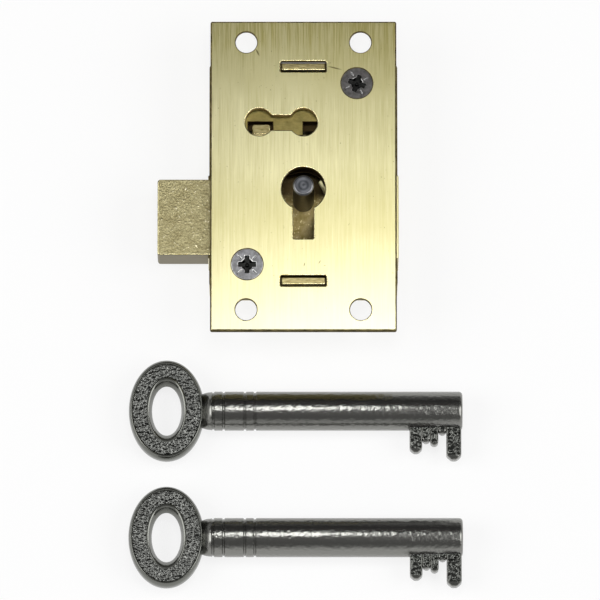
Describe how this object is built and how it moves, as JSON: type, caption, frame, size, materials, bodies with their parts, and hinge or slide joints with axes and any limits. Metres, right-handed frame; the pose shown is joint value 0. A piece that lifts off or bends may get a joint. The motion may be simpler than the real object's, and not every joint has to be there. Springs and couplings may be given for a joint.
{
  "type": "cupboard lock",
  "caption": "Straight lever cupboard lock: brass plate over a cast case, sliding bolt, drill pin, sprung levers on a post, and barrel keys lying beside it.",
  "frame": {"origin": "where the drill pin's axis meets the back face of the case, on which the lock lies", "axes": "+Z along the drill pin out through the mounting plate, +Y from the keyhole's slot towards the round part and the window, -X the way that the bolt shoots"},
  "size_m": [0.0682, 0.1163, 0.0173],
  "materials": {
    "satin_brass": "satin, brushed lengthwise and lacquered",
    "cast_brass": "sand cast, with polished edges",
    "lever_brass": "stamped from rolled sheet, left bright",
    "turned_steel": "turned and left dark",
    "screw_steel": "zinc plated, worn in the recess",
    "spring_bronze": "rolled spring strip",
    "key_nickel": "die cast and plated in dark bright nickel"
  },
  "bodies": {
    "lock_case": {"mounting_plate": "satin_brass", "case": "cast_brass", "drill_pin": "turned_steel", "lever_post": "turned_steel", "guide_pin": "turned_steel", "lever_washers": "lever_brass", "packing_collar": "lever_brass", "case_screws": "screw_steel"},
    "sliding_bolt": {"bolt": "cast_brass", "bolt_stump": "lever_brass"},
    "lever_1_body": {"lever_1": "lever_brass", "lever_spring_1": "spring_bronze"},
    "lever_2_body": {"lever_2": "lever_brass", "lever_spring_2": "spring_bronze"},
    "lever_3_body": {"lever_3": "lever_brass", "lever_spring_3": "spring_bronze"},
    "lever_4_body": {"lever_4": "lever_brass", "lever_spring_4": "spring_bronze"},
    "key_1_body": {"key_1": "key_nickel"},
    "key_2_body": {"key_2": "key_nickel"}
  },
  "joints": [
    {"name": "bolt_slide", "type": "slide", "parent": "lock_case", "child": "sliding_bolt", "axis": [1, 0, 0], "range_m": [0, 0.0108]},
    {"name": "lever_1_lift", "type": "hinge", "parent": "lock_case", "child": "lever_1_body", "pos_m": [0.0142, 0.011, 0.00583], "axis": [0, 0, -1], "range_deg": [-4, 3], "stiffness_Nm_per_rad": 0.05, "deforming": ["lever_spring_1"]},
    {"name": "lever_2_lift", "type": "hinge", "parent": "lock_case", "child": "lever_2_body", "pos_m": [0.0142, 0.011, 0.00747], "axis": [0, 0, -1], "range_deg": [-4, 3], "stiffness_Nm_per_rad": 0.05, "deforming": ["lever_spring_2"]},
    {"name": "lever_3_lift", "type": "hinge", "parent": "lock_case", "child": "lever_3_body", "pos_m": [0.0142, 0.011, 0.00912], "axis": [0, 0, -1], "range_deg": [-4, 3], "stiffness_Nm_per_rad": 0.05, "deforming": ["lever_spring_3"]},
    {"name": "lever_4_lift", "type": "hinge", "parent": "lock_case", "child": "lever_4_body", "pos_m": [0.0142, 0.011, 0.01077], "axis": [0, 0, -1], "range_deg": [-4, 3], "stiffness_Nm_per_rad": 0.05, "deforming": ["lever_spring_4"]},
    {"name": "key_1_lift", "type": "slide", "parent": "lock_case", "child": "key_1_body", "axis": [0, 0, 1], "range_m": [0, 0.08]},
    {"name": "key_2_lift", "type": "slide", "parent": "lock_case", "child": "key_2_body", "axis": [0, 0, 1], "range_m": [0, 0.08]}
  ]
}
